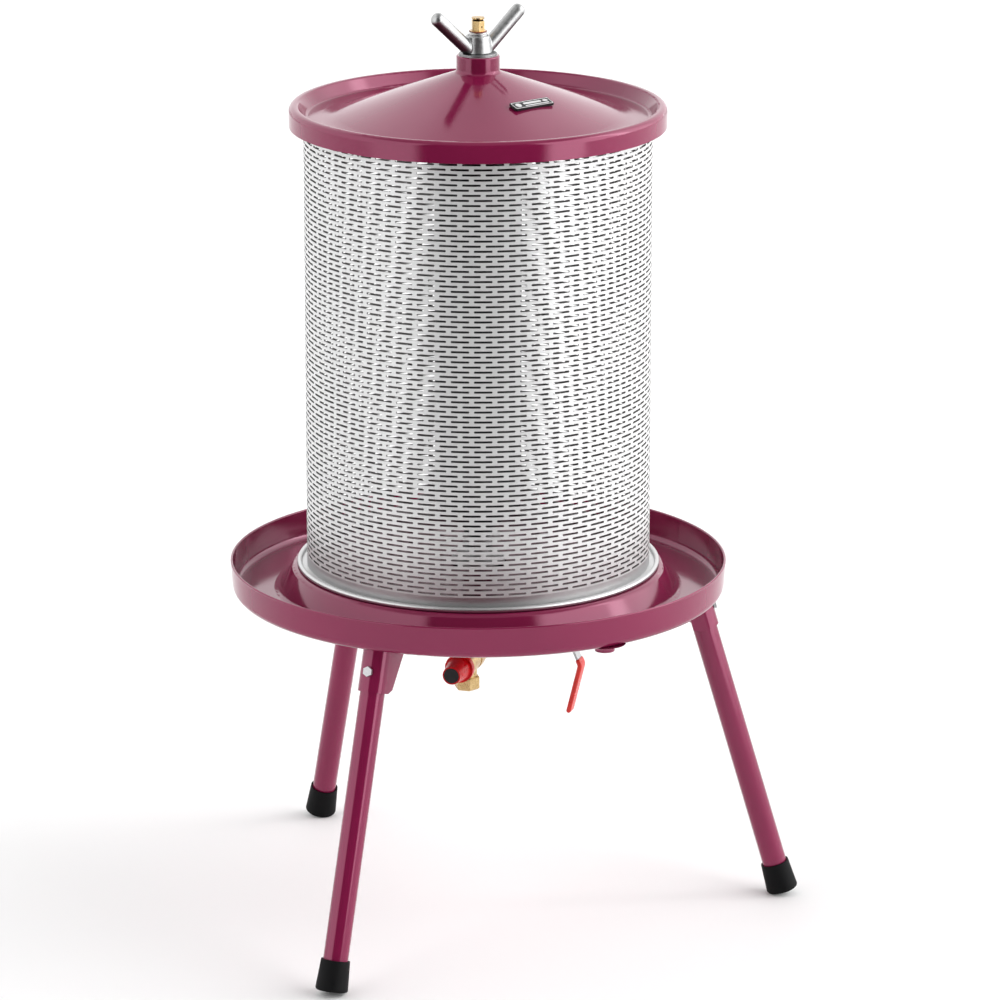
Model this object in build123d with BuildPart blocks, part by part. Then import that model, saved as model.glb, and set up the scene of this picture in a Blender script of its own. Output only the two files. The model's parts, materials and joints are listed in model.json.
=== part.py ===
from build123d import *

import os
from math import cos, radians, sin

# Water-bladder basket press for fruit: a slotted basket on a three-legged juice tray.

os.makedirs("parts", exist_ok=True)

# ---- driving dimensions, mm ----------------------------------------------------------
# The origin is on the press axis at floor level. The drain spout points towards -Y.

SHEET = 2.0  # painted steel sheet of the tray and the lid
GAP = 0.3  # clearance between pieces that only lie on each other
SNUG = 0.05  # clearance between pieces pushed or screwed together

LEG_ANGLES = (-30.0, -150.0, 90.0)  # directions of the three legs, degrees
LEG_TILT = 16.4  # lean of a leg from upright, degrees
LEG_SWAY = 0.5  # its sideways lean, from the play in its bracket, degrees
LEG_FLOOR_R = 305.6  # where a leg's centre line meets the floor
LEG_R = 12.0
LEG_WALL = 1.5
LEG_TOP_Z = 318.6
LEG_START = 9.0  # the tube stands this far up inside its foot

SADDLE_R = LEG_R + 0.15
SADDLE_SHEET = 2.15
SADDLE_SIDE = 34.0

FOOT_R = 15.8  # rubber foot, at its bottom
FOOT_TOP_R = 13.9
FOOT_LENGTH = 30.0
FOOT_FLAT = 0.8  # how much of the tilted sole is worn level
FOOT_EDGE_R = 2.5

BOLT_Z = 297.4
BOLT_R = 3.0
BOLT_HEAD_FLATS = 8.6
BOLT_HEAD = 2.8
BOLT_LENGTH = 34.0
LEG_NUT = 5.0

TRAY_R = 242.6
TRAY_RIM_Z = 355.0
TRAY_FLOOR_Z = 325.4
TRAY_CORNER_R = 6.5
PLATFORM_R = 180.5  # raised seat for the basket
PLATFORM_Z = 349.2
PLATFORM_EDGE_R = 6.0
CHANNEL_R = 195.0  # foot of the slope between the platform and the juice channel
CHANNEL_EDGE_R = 9.0
RIM_BEAD_R = 1.2

SPOUT_ANGLE = -90.0
SPOUT_CENTRE_R = 222.0
SPOUT_R = 9.5
SPOUT_WALL = 1.5
SPOUT_DROP = 7.3  # how far it hangs below the tray
SPOUT_FLARE_R = 20.0  # where it spreads out against the tray
SPOUT_FLARE = 2.6

BASKET_R = 167.5
BASKET_WALL = 1.5
BASKET_FOOT_Z = PLATFORM_Z + GAP
BASKET_TOP_Z = 789.6
FLANGE_R = 177.3
FLANGE_BEAD_R = 2.5
COLLAR_TOP_Z = 362.0  # top of the rolled foot ring

LID_R = 181.4
LID_SKIRT_Z = 785.8
LID_CREST_Z = 805.7
LID_CREST_R = 173.0
LID_VALLEY_Z = 793.7
LID_VALLEY_R = (143.6, 165.3)
NECK_R = 20.8
NECK_TOP_Z = 853.5
NECK_FOOT_Z = 837.4
BUSH_DROP = 6.0
SEAL_WALL = 2.3
SEAL_HEIGHT = 5.0
NECK_EDGE_R = 1.6
BADGE_AT = 79.0  # distance of the badge's middle from the press axis
BADGE_ANGLE = -83.0
BADGE_WIDTH = 12.0
BADGE_LENGTH = 47.0
BADGE_THICK = 2.2
BADGE_CORNER_R = 1.5

NUT_WASHER_R = 18.2
NUT_WASHER = 2.3
HUB_FOOT_R = 13.5
HUB_TOP_R = 11.5
HUB_TOP_Z = 872.7
WING_R = 6.8
WING_RISE = 42.5  # degrees above level
WING_FOOT_Z = 850.3  # where the wings' centre lines would meet
WING_LENGTH = 67.3

TUBE_R = 10.65
TUBE_BORE_R = 8.0
TUBE_FOOT_Z = 268.0
THREAD_R = 9.0
THREAD_FOOT_Z = 844.0
TUBE_TOP_Z = 876.0
THREAD_CHAMFER = 0.5
WATER_HOLE_R = 2.5
WATER_HOLE_HEIGHTS = (440.0, 580.0, 720.0)

BLADDER_R = 42.0
BLADDER_WALL = 3.5
BLADDER_FOOT_Z = 366.0
BLADDER_TOP_Z = 780.0
BLADDER_CUFF = 18.0
BLADDER_SHOULDER = 22.0
CLAMP_BAND = 1.0
CLAMP_WIDTH = 9.0
CLAMP_INSET = 3.0
CLAMP_SCREW = 7.0

COLLAR_R = 26.0
COLLAR_THICK = 6.0
GASKET = 1.5
LOCK_WASHER = 2.0
LOCK_NUT = 10.0
LOCK_NUT_FLATS = 36.0

VENT_GASKET = 0.9
VENT_SHOULDER_Z = TUBE_TOP_Z + VENT_GASKET
VENT_SHANK = 14.0
VENT_HEX = 9.7
VENT_FLATS = 11.4
VENT_TURN = 7.3
VENT_HOLE_ANGLE = VENT_TURN - 90.0
VENT_HOLE_Z = 880.9
VENT_HOLE_R = 0.9
VENT_WASHER = 0.6
VENT_SCREW_R = 2.2
VENT_SCREW_LENGTH = 10.0
VENT_NECK_R = 4.6
VENT_HEAD_R = 6.2
VENT_LIP = 1.2
VENT_SLOT = 1.4
VENT_TOP_Z = 889.8

MANIFOLD_Z = 258.0
WATER_ANGLE = 40.0  # the water inlet points this way, the relief valve the opposite way
RELIEF_ANGLE = WATER_ANGLE - 180.0
FITTING_BORE_R = 6.5
STUB_R = 8.95  # male threads that go into the tee and the valve
STUB_START = 16.0
RUN_R = 11.3  # the tee's level run
RUN_BAND_R = 12.6
TEE_HALF = 27.0
TEE_R = 13.0  # its upright branch
TEE_BAND_R = 16.0
TEE_BAND = 10.0
TEE_TOP_Z = 286.0

RELIEF_R = 12.0
RELIEF_END = 50.0
OUTLET_AT = 37.0  # distance of the outlet from the press axis
OUTLET_NECK_R = 9.8
OUTLET_FOOT_Z = 230.0
OUTLET_HEX = 12.6
OUTLET_FLATS = 22.0
OUTLET_CHAMFER = 1.6
OUTLET_R = 9.3
RELIEF_PASSAGE_R = 3.0
RELIEF_PASSAGE_SHIFT = 6.0
BONNET_R = 13.5
BONNET_FLANGE = 8.0
BOSS_R = 8.5
BOSS_END = 74.0
BOSS_WALL = 4.0
SPRING_ROOM_R = 6.8
POPPET_R = 8.0
POPPET_SEAT = 38.0
POPPET_THICK = 4.0
POPPET_STEM_R = 2.0
POPPET_STEM_END = 77.0
SPRING_R = 5.3
SPRING_WIRE_R = 0.7
SPRING_PITCH = 3.4
SPRING_TURNS = 7
CAP_START = 58.3
CAP_END = 88.0
CAP_RIM = 5.7
CAP_RIM_R = 14.2
CAP_FOOT_R = 12.0
CAP_TIP_R = 8.9
CAP_WALL = 7.0
CAP_DISC = 1.0
CAP_DISC_R = 7.5

NIPPLE_R = 9.5
NIPPLE_FLATS = 24.0
NIPPLE_HEX_END = 36.0

VALVE_START = 88.0
VALVE_FLATS = 27.0
VALVE_HEX = 13.0
VALVE_PORT_END = 100.0
BARREL_R = 16.0
BARREL_END = 136.0
BALL_AT = 120.0
BALL_R = 11.5
BALL_ROOM_R = 12.5
BALL_ROOM_START = 106.0
SEAT_THICK = 6.0
END_CAP_START = 134.0
END_CAP_HEX = 10.0
MALE_END_R = 13.2
MALE_END = 12.0
STEM_ANGLE = WATER_ANGLE - 90.0
STEM_R = 4.0
STEM_START = 11.7
STEM_TIP_R = 3.0
STEM_END = 54.3
TANG_START = 8.6
TANG_THICK = 3.5
SIDE_BOSS_R = 8.0
SIDE_BOSS_END = 32.0
PACKING_FLATS = 14.0
PACKING_NUT = 8.0
LEVER_NUT_FLATS = 10.0
LEVER_NUT = 5.0
# the lever's centre line: distance down from the stem, distance out from the ball
LEVER_LINE = ((-9.0, 46.0), (9.5, 46.0), (23.0, 61.4), (44.0, 71.2), (92.0, 59.5))
LEVER_BEND_R = 7.0
LEVER_THICK = 2.2
LEVER_WIDTH = 13.0
GRIP_START = 37.5
GRIP_END = 94.5
GRIP_THICK = 4.8
GRIP_WIDTH = 15.6
GRIP_EDGE_R = 2.3

HOSE_GASKET = 2.0
HOSE_GASKET_START = BARREL_END + END_CAP_HEX + MALE_END
HOSE_NUT_R = 17.0
HOSE_NUT_START = 148.0
HOSE_NUT_END = 163.0
HOSE_NOSE_R = 8.4
HOSE_NOSE_END = 189.0

# ---- planes and directions -----------------------------------------------------------


def outward(angle):
    """Level direction away from the press axis."""
    return Vector(cos(radians(angle)), sin(radians(angle)), 0)


def upright_plane(angle, height=0.0):
    """Upright plane through the press axis: x runs outwards, y runs up."""
    return Plane(
        origin=(0, 0, height),
        x_dir=outward(angle),
        z_dir=outward(angle).cross(Vector(0, 0, 1)),
    )


def across_pipe(angle, distance, height=MANIFOLD_Z):
    """Plane square to a level pipe, at a distance from the press axis; x runs down."""
    return Plane(
        origin=Vector(0, 0, height) + outward(angle) * distance,
        x_dir=(0, 0, -1),
        z_dir=outward(angle),
    )


def leg_plane(angle):
    """Plane square to a leg where it meets the floor: x runs outwards, z up the leg."""
    tilt = radians(LEG_TILT)
    sway = radians(LEG_SWAY)
    up_leg = Vector(0, 0, 1) * cos(tilt) - outward(angle) * sin(tilt)
    up_leg = up_leg * cos(sway) + outward(angle + 90.0) * sin(sway)
    return Plane(
        origin=outward(angle) * LEG_FLOOR_R,
        x_dir=outward(angle) * cos(tilt) + Vector(0, 0, 1) * sin(tilt),
        z_dir=up_leg,
    )


def leg_section(angle):
    """Plane through a leg's centre line: x runs outwards, y up the leg."""
    base = leg_plane(angle)
    return Plane(origin=base.origin, x_dir=base.x_dir, z_dir=-base.y_dir)


def bolt_plane(angle):
    """Plane square to a leg's cross bolt, on the leg's centre line; z runs outwards."""
    base = leg_plane(angle)
    return Plane(
        origin=base.origin + base.z_dir * along_leg(BOLT_Z),
        x_dir=base.z_dir,
        z_dir=base.x_dir,
    )


def outlet_plane(height):
    """Level plane under the relief valve, on its outlet; z runs down, y along the valve."""
    return Plane(
        origin=outward(RELIEF_ANGLE) * OUTLET_AT + Vector(0, 0, height),
        x_dir=outward(RELIEF_ANGLE - 90.0),
        z_dir=(0, 0, -1),
    )


def stem_plane(distance):
    """Plane square to the valve's stem, at a distance from the ball; x runs down."""
    return Plane(
        origin=across_pipe(WATER_ANGLE, BALL_AT).origin + outward(STEM_ANGLE) * distance,
        x_dir=(0, 0, -1),
        z_dir=outward(STEM_ANGLE),
    )


def lever_plane():
    """Plane along the lever: x runs down, y runs out along the stem."""
    return Plane(origin=stem_plane(0).origin, x_dir=(0, 0, -1), z_dir=-outward(WATER_ANGLE))


def lever_point(corner, next_corner, reach):
    """Point on the lever's centre line between two corners, this far down."""
    share = (reach - corner[0]) / (next_corner[0] - corner[0])
    return (reach, corner[1] + share * (next_corner[1] - corner[1]))


def along_leg(height):
    """Distance up the leg's centre line at which it reaches this height."""
    return height / cos(radians(LEG_TILT))


# ---- tray ----------------------------------------------------------------------------

rim_wall_r = TRAY_R - RIM_BEAD_R + SHEET / 2
tray_line = (
    (TUBE_R + SNUG, PLATFORM_Z),
    (PLATFORM_R, PLATFORM_Z),
    (CHANNEL_R, TRAY_FLOOR_Z),
    (rim_wall_r - SHEET - 2.0, TRAY_FLOOR_Z),
    (rim_wall_r - SHEET, TRAY_RIM_Z - RIM_BEAD_R),
)

with BuildPart() as tray:
    with BuildSketch(Plane.XZ):
        with BuildLine():
            FilletPolyline(*tray_line, radius=[PLATFORM_EDGE_R, CHANNEL_EDGE_R, TRAY_CORNER_R])
            offset(amount=SHEET, side=Side.RIGHT)
        make_face()
        with Locations((TRAY_R - RIM_BEAD_R, TRAY_RIM_Z - RIM_BEAD_R)):
            Circle(RIM_BEAD_R)
    revolve(axis=Axis.Z)
    with Locations(outward(SPOUT_ANGLE) * SPOUT_CENTRE_R + Vector(0, 0, TRAY_FLOOR_Z)):
        Hole(SPOUT_R - SPOUT_WALL, depth=3 * SHEET)

tray.part.label = "tray"
export_step(tray.part, "parts/tray.step")

spout_top_z = TRAY_FLOOR_Z - SHEET
spout_foot_z = spout_top_z - SPOUT_DROP
spout_bore_r = SPOUT_R - SPOUT_WALL
spout_axis = Axis(outward(SPOUT_ANGLE) * SPOUT_CENTRE_R, (0, 0, 1))

with BuildPart() as spout:
    with BuildSketch(Plane(origin=spout_axis.position, x_dir=(1, 0, 0), z_dir=(0, -1, 0))):
        with BuildLine():
            flare = FilletPolyline(
                (spout_bore_r, spout_foot_z),
                (SPOUT_R, spout_foot_z),
                (SPOUT_R, spout_top_z - SPOUT_FLARE),
                (SPOUT_FLARE_R, spout_top_z),
                radius=[0.6, 6.0],
            )
            Polyline(flare @ 1, (spout_bore_r, spout_top_z), flare @ 0)
        make_face()
    revolve(axis=spout_axis)

spout.part.label = "juice_spout"
export_step(spout.part, "parts/juice_spout.step")


# ---- legs, brackets and feet -----------------------------------------------------------

BRACKET_TOP_Z = TRAY_FLOOR_Z - SHEET
# a bracket's long cheek runs in towards the press axis, its short cheek follows the leg
LONG_CHEEK = (
    (177.0, BRACKET_TOP_Z),
    (210.5, 278.8),
    (219.0, 277.4),
    (252.0, 287.1),
    (240.0, BRACKET_TOP_Z + 3.6),
    (236.5, BRACKET_TOP_Z + 0.9),
    (232.0, BRACKET_TOP_Z),
)
SHORT_CHEEK = (
    (199.0, BRACKET_TOP_Z),
    (211.5, 278.5),
    (219.0, 277.4),
    (252.0, 287.1),
    (240.0, BRACKET_TOP_Z + 3.6),
    (236.5, BRACKET_TOP_Z + 0.9),
    (232.0, BRACKET_TOP_Z),
)
sole = (FOOT_R * sin(radians(LEG_TILT)) - FOOT_FLAT) / cos(radians(LEG_TILT))

for number, angle in enumerate(LEG_ANGLES, start=1):
    leg_axis = Axis(leg_plane(angle).origin, leg_plane(angle).z_dir)

    with BuildPart() as leg:
        with BuildSketch(leg_plane(angle).offset(LEG_START)):
            Circle(LEG_R)
            Circle(LEG_R - LEG_WALL, mode=Mode.SUBTRACT)
        extrude(amount=along_leg(LEG_TOP_Z) - LEG_START)
        with BuildSketch(bolt_plane(angle)):
            Circle(BOLT_R + SNUG)
        extrude(amount=2 * LEG_R, both=True, mode=Mode.SUBTRACT)

    leg.part.label = f"leg_{number}"
    export_step(leg.part, f"parts/leg_{number}.step")

    with BuildPart() as cheeks:
        with BuildSketch(upright_plane(angle)):
            Polygon(*LONG_CHEEK, align=None)
        extrude(amount=-2 * SADDLE_R)
        with BuildSketch(upright_plane(angle)):
            Polygon(*SHORT_CHEEK, align=None)
        extrude(amount=2 * SADDLE_R)

    with BuildPart() as bracket:
        with BuildSketch(leg_plane(angle).offset(along_leg(BOLT_Z) - 2 * SADDLE_SIDE)):
            Circle(SADDLE_R + SADDLE_SHEET)
            with Locations((-SADDLE_SIDE / 2, 0)):
                Rectangle(SADDLE_SIDE, 2 * (SADDLE_R + SADDLE_SHEET))
            Circle(SADDLE_R, mode=Mode.SUBTRACT)
            with Locations((-SADDLE_SIDE / 2, 0)):
                Rectangle(SADDLE_SIDE, 2 * SADDLE_R, mode=Mode.SUBTRACT)
        extrude(amount=4 * SADDLE_SIDE)
        add(cheeks.part, mode=Mode.INTERSECT)
        with BuildSketch(bolt_plane(angle)):
            Circle(BOLT_R + SNUG)
        extrude(amount=2 * LEG_R, mode=Mode.SUBTRACT)

    bracket.part.label = f"leg_bracket_{number}"
    export_step(bracket.part, f"parts/leg_bracket_{number}.step")

    with BuildPart() as foot:
        with BuildSketch(leg_section(angle)):
            Polygon(
                (0, sole),
                (FOOT_R, sole),
                (FOOT_TOP_R, sole + FOOT_LENGTH),
                (LEG_R + SNUG, sole + FOOT_LENGTH),
                (LEG_R + SNUG, LEG_START - SNUG),
                (0, LEG_START - SNUG),
                align=None,
            )
        revolve(axis=leg_axis)
        fillet(foot.edges().sort_by(leg_axis)[0], FOOT_EDGE_R)
        fillet(foot.edges().filter_by(GeomType.CIRCLE).sort_by(leg_axis)[-1], 0.8)
        split(bisect_by=Plane.XY, keep=Keep.TOP)

    foot.part.label = f"foot_{number}"
    export_step(foot.part, f"parts/foot_{number}.step")

with BuildPart() as leg_bolts:
    for angle in LEG_ANGLES:
        with BuildSketch(bolt_plane(angle).offset(SADDLE_R + SADDLE_SHEET)):
            RegularPolygon(BOLT_HEAD_FLATS / 2, 6, major_radius=False)
        extrude(amount=BOLT_HEAD)
        with BuildSketch(bolt_plane(angle).offset(SADDLE_R + SADDLE_SHEET)):
            Circle(BOLT_R)
        extrude(amount=-BOLT_LENGTH)

leg_bolts.part.label = "leg_bolts"
export_step(leg_bolts.part, "parts/leg_bolts.step")

with BuildPart() as leg_nuts:
    for angle in LEG_ANGLES:
        with BuildSketch(bolt_plane(angle).offset(-LEG_R - SNUG)):
            RegularPolygon(BOLT_HEAD_FLATS / 2, 6, major_radius=False)
            Circle(BOLT_R + SNUG, mode=Mode.SUBTRACT)
        extrude(amount=-LEG_NUT)

leg_nuts.part.label = "leg_nuts"
export_step(leg_nuts.part, "parts/leg_nuts.step")

# ---- centre tube, its mounting in the tray, and the bladder ---------------------------------

with BuildPart() as centre_tube:
    with BuildSketch(Plane.XZ):
        Polygon(
            (TUBE_BORE_R, TUBE_FOOT_Z),
            (TUBE_R, TUBE_FOOT_Z),
            (TUBE_R, THREAD_FOOT_Z - (TUBE_R - THREAD_R)),
            (THREAD_R, THREAD_FOOT_Z),
            (THREAD_R, TUBE_TOP_Z - THREAD_CHAMFER),
            (THREAD_R - THREAD_CHAMFER, TUBE_TOP_Z),
            (TUBE_BORE_R, TUBE_TOP_Z),
            align=None,
        )
    revolve(axis=Axis.Z)
    for height in WATER_HOLE_HEIGHTS:
        with BuildSketch(Plane.XZ):
            with Locations((0, height)):
                Circle(WATER_HOLE_R)
        extrude(amount=2 * TUBE_R, both=True, mode=Mode.SUBTRACT)

centre_tube.part.label = "centre_tube"
export_step(centre_tube.part, "parts/centre_tube.step")

with BuildPart() as platform_gasket:
    with BuildSketch(Plane.XY.offset(PLATFORM_Z)):
        Circle(COLLAR_R + 1.0)
        Circle(TUBE_R + SNUG, mode=Mode.SUBTRACT)
    extrude(amount=GASKET)

platform_gasket.part.label = "platform_gasket"
export_step(platform_gasket.part, "parts/platform_gasket.step")

with BuildPart() as tube_collar:
    with BuildSketch(Plane.XY.offset(PLATFORM_Z + GASKET)):
        Circle(COLLAR_R)
        Circle(TUBE_R + SNUG, mode=Mode.SUBTRACT)
    extrude(amount=COLLAR_THICK)
    chamfer(tube_collar.edges().group_by(Axis.Z)[-1].sort_by(SortBy.LENGTH)[-1], 2.0)

tube_collar.part.label = "tube_collar"
export_step(tube_collar.part, "parts/tube_collar.step")

with BuildPart() as lock_washer:
    with BuildSketch(Plane.XY.offset(PLATFORM_Z - SHEET - LOCK_WASHER)):
        Circle(COLLAR_R)
        Circle(TUBE_R + SNUG, mode=Mode.SUBTRACT)
    extrude(amount=LOCK_WASHER)

lock_washer.part.label = "lock_washer"
export_step(lock_washer.part, "parts/lock_washer.step")

with BuildPart() as lock_nut:
    with BuildSketch(Plane.XY.offset(PLATFORM_Z - SHEET - LOCK_WASHER - LOCK_NUT)):
        RegularPolygon(LOCK_NUT_FLATS / 2, 6, major_radius=False)
        Circle(TUBE_R + SNUG, mode=Mode.SUBTRACT)
    extrude(amount=LOCK_NUT)

lock_nut.part.label = "lock_nut"
export_step(lock_nut.part, "parts/lock_nut.step")

cuff_r = TUBE_R + SNUG + BLADDER_WALL
bladder_line = (
    (cuff_r, BLADDER_FOOT_Z),
    (cuff_r, BLADDER_FOOT_Z + BLADDER_CUFF),
    (BLADDER_R, BLADDER_FOOT_Z + BLADDER_CUFF + BLADDER_SHOULDER),
    (BLADDER_R, BLADDER_TOP_Z - BLADDER_CUFF - BLADDER_SHOULDER),
    (cuff_r, BLADDER_TOP_Z - BLADDER_CUFF),
    (cuff_r, BLADDER_TOP_Z),
)

with BuildPart() as bladder:
    with BuildSketch(Plane.XZ):
        with BuildLine():
            FilletPolyline(*bladder_line, radius=[6.0, 12.0, 12.0, 6.0])
            offset(amount=BLADDER_WALL, side=Side.LEFT)
        make_face()
    revolve(axis=Axis.Z)

bladder.part.label = "bladder"
export_step(bladder.part, "parts/bladder.step")

with BuildPart() as bladder_clamps:
    for height in (BLADDER_FOOT_Z + CLAMP_INSET, BLADDER_TOP_Z - CLAMP_INSET - CLAMP_WIDTH):
        with BuildSketch(Plane.XY.offset(height)):
            Circle(cuff_r + SNUG + CLAMP_BAND)
            with Locations((cuff_r + CLAMP_SCREW / 2, 0)):
                Rectangle(CLAMP_SCREW, 2 * CLAMP_SCREW)
            Circle(cuff_r + SNUG, mode=Mode.SUBTRACT)
        extrude(amount=CLAMP_WIDTH)

bladder_clamps.part.label = "bladder_clamps"
export_step(bladder_clamps.part, "parts/bladder_clamps.step")

# ---- air vent in the end of the centre tube --------------------------------------------------

with BuildPart() as vent_gasket:
    with BuildSketch(Plane.XY.offset(TUBE_TOP_Z)):
        Circle(THREAD_R - THREAD_CHAMFER)
        Circle(TUBE_BORE_R, mode=Mode.SUBTRACT)
    extrude(amount=VENT_GASKET)

vent_gasket.part.label = "vent_gasket"
export_step(vent_gasket.part, "parts/vent_gasket.step")

with BuildPart() as vent_body:
    with BuildSketch(Plane.XY.offset(VENT_SHOULDER_Z - VENT_SHANK)):
        Circle(TUBE_BORE_R - SNUG)
    extrude(amount=VENT_SHANK)
    with BuildSketch(Plane.XY.offset(VENT_SHOULDER_Z)):
        RegularPolygon(VENT_FLATS / 2, 6, major_radius=False, rotation=VENT_TURN)
    extrude(amount=VENT_HEX)
    with Locations((0, 0, VENT_SHOULDER_Z + VENT_HEX)):
        Hole(VENT_SCREW_R + GAP, depth=VENT_HEX + VENT_SHANK)
    with BuildSketch(across_pipe(VENT_HOLE_ANGLE, 0, VENT_HOLE_Z)):
        Circle(VENT_HOLE_R)
    extrude(amount=VENT_FLATS, mode=Mode.SUBTRACT)

vent_body.part.label = "vent_body"
export_step(vent_body.part, "parts/vent_body.step")

vent_top_z = VENT_SHOULDER_Z + VENT_HEX

with BuildPart() as vent_washer:
    with BuildSketch(Plane.XY.offset(vent_top_z)):
        Circle(VENT_NECK_R + 0.5)
        Circle(VENT_SCREW_R + GAP, mode=Mode.SUBTRACT)
    extrude(amount=VENT_WASHER)

vent_washer.part.label = "vent_washer"
export_step(vent_washer.part, "parts/vent_washer.step")

with BuildPart() as vent_screw:
    with BuildSketch(Plane.XZ):
        Polygon(
            (0, vent_top_z - VENT_SCREW_LENGTH),
            (VENT_SCREW_R, vent_top_z - VENT_SCREW_LENGTH),
            (VENT_SCREW_R, vent_top_z + VENT_WASHER),
            (VENT_NECK_R, vent_top_z + VENT_WASHER),
            (VENT_HEAD_R, VENT_TOP_Z - VENT_LIP),
            (VENT_HEAD_R, VENT_TOP_Z),
            (0, VENT_TOP_Z),
            align=None,
        )
    revolve(axis=Axis.Z)
    with BuildSketch(upright_plane(VENT_HOLE_ANGLE - 40.0, VENT_TOP_Z)):
        Rectangle(VENT_SLOT, VENT_LIP * 2)
    extrude(amount=2 * VENT_HEAD_R, both=True, mode=Mode.SUBTRACT)

vent_screw.part.label = "vent_screw"
export_step(vent_screw.part, "parts/vent_screw.step")

# ---- basket ------------------------------------------------------------------------------------

with BuildPart() as basket_wall:
    with BuildSketch(Plane.XY.offset(COLLAR_TOP_Z)):
        Circle(BASKET_R)
        Circle(BASKET_R - BASKET_WALL, mode=Mode.SUBTRACT)
    extrude(amount=BASKET_TOP_Z - COLLAR_TOP_Z)

basket_wall.part.label = "basket_wall"
export_step(basket_wall.part, "parts/basket_wall.step")

foot_ring_line = (
    (BASKET_R - BASKET_WALL, COLLAR_TOP_Z),
    (BASKET_R - BASKET_WALL, BASKET_FOOT_Z),
    (FLANGE_R - FLANGE_BEAD_R, BASKET_FOOT_Z),
)

with BuildPart() as basket_foot_ring:
    with BuildSketch(Plane.XZ):
        with BuildLine():
            FilletPolyline(*foot_ring_line, radius=1.6)
            offset(amount=BASKET_WALL, side=Side.LEFT)
        make_face()
        with Locations((FLANGE_R - FLANGE_BEAD_R, BASKET_FOOT_Z + FLANGE_BEAD_R)):
            Circle(FLANGE_BEAD_R)
    revolve(axis=Axis.Z)

basket_foot_ring.part.label = "basket_foot_ring"
export_step(basket_foot_ring.part, "parts/basket_foot_ring.step")

seal_top_z = LID_VALLEY_Z - SHEET - GAP

with BuildPart() as rim_seal:
    with BuildSketch(Plane.XZ):
        Polygon(
            (BASKET_R - BASKET_WALL - SEAL_WALL, seal_top_z - SEAL_HEIGHT),
            (BASKET_R - BASKET_WALL, seal_top_z - SEAL_HEIGHT),
            (BASKET_R - BASKET_WALL, BASKET_TOP_Z),
            (BASKET_R, BASKET_TOP_Z),
            (BASKET_R, seal_top_z - SEAL_HEIGHT),
            (BASKET_R + SEAL_WALL, seal_top_z - SEAL_HEIGHT),
            (BASKET_R + SEAL_WALL, seal_top_z),
            (BASKET_R - BASKET_WALL - SEAL_WALL, seal_top_z),
            align=None,
        )
    revolve(axis=Axis.Z)

rim_seal.part.label = "rim_seal"
export_step(rim_seal.part, "parts/rim_seal.step")

# ---- lid ---------------------------------------------------------------------------------------

lid_line = (
    (NECK_R, NECK_TOP_Z),
    (NECK_R, NECK_FOOT_Z),
    (LID_VALLEY_R[0], LID_VALLEY_Z),
    (LID_VALLEY_R[1], LID_VALLEY_Z),
    (LID_CREST_R, LID_CREST_Z),
    (LID_R, LID_CREST_Z),
    (LID_R, LID_SKIRT_Z),
)

with BuildPart() as lid_shell:
    with BuildSketch(Plane.XZ):
        with BuildLine():
            FilletPolyline(*lid_line, radius=[4.0, 40.0, 4.0, 3.0, 5.5])
            offset(amount=SHEET, side=Side.RIGHT)
        make_face()
    revolve(axis=Axis.Z)
    fillet(lid_shell.edges().group_by(Axis.Z)[-1].sort_by(SortBy.LENGTH)[-1], NECK_EDGE_R)

lid_shell.part.label = "lid_shell"
export_step(lid_shell.part, "parts/lid_shell.step")

with BuildPart() as neck_bush:
    with BuildSketch(Plane.XY.offset(NECK_FOOT_Z - BUSH_DROP)):
        Circle(NECK_R - SHEET - SNUG)
        Circle(TUBE_R + GAP, mode=Mode.SUBTRACT)
    extrude(amount=NECK_TOP_Z - NECK_FOOT_Z + BUSH_DROP)

neck_bush.part.label = "neck_bush"
export_step(neck_bush.part, "parts/neck_bush.step")

cone_slope = (NECK_FOOT_Z - LID_VALLEY_Z) / (LID_VALLEY_R[0] - NECK_R)
badge_z = NECK_FOOT_Z - cone_slope * (BADGE_AT - NECK_R)
badge_plane = Plane(
    origin=outward(BADGE_ANGLE) * BADGE_AT + Vector(0, 0, badge_z),
    x_dir=outward(BADGE_ANGLE + 90.0),
    z_dir=outward(BADGE_ANGLE) * cone_slope + Vector(0, 0, 1),
)

with BuildPart() as badge:
    with BuildSketch(badge_plane.offset(SNUG)):
        RectangleRounded(BADGE_LENGTH, BADGE_WIDTH, BADGE_CORNER_R)
    extrude(amount=BADGE_THICK)

badge.part.label = "badge_plate"
export_step(badge.part, "parts/badge_plate.step")

# ---- wing nut ------------------------------------------------------------------------------------

with BuildPart() as nut_washer:
    with BuildSketch(Plane.XY.offset(NECK_TOP_Z)):
        Circle(NUT_WASHER_R)
        Circle(THREAD_R + GAP, mode=Mode.SUBTRACT)
    extrude(amount=NUT_WASHER)
    fillet(nut_washer.edges().group_by(Axis.Z)[-1].sort_by(SortBy.LENGTH)[-1], 0.8)

nut_washer.part.label = "nut_washer"
export_step(nut_washer.part, "parts/nut_washer.step")

hub_foot_z = NECK_TOP_Z + NUT_WASHER

with BuildPart() as hub_blank:
    with BuildSketch(Plane.XZ):
        Polygon(
            (0, hub_foot_z),
            (HUB_FOOT_R, hub_foot_z),
            (HUB_TOP_R, HUB_TOP_Z),
            (0, HUB_TOP_Z),
            align=None,
        )
    revolve(axis=Axis.Z)

with BuildPart() as wing_nut_hub:
    add(hub_blank.part)
    with Locations((0, 0, HUB_TOP_Z)):
        Hole(THREAD_R + GAP, depth=2 * (HUB_TOP_Z - hub_foot_z))
    chamfer(wing_nut_hub.edges().group_by(Axis.Z)[-1].sort_by(SortBy.LENGTH)[-1], 0.8)

wing_nut_hub.part.label = "wing_nut_hub"
export_step(wing_nut_hub.part, "parts/wing_nut_hub.step")

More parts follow.
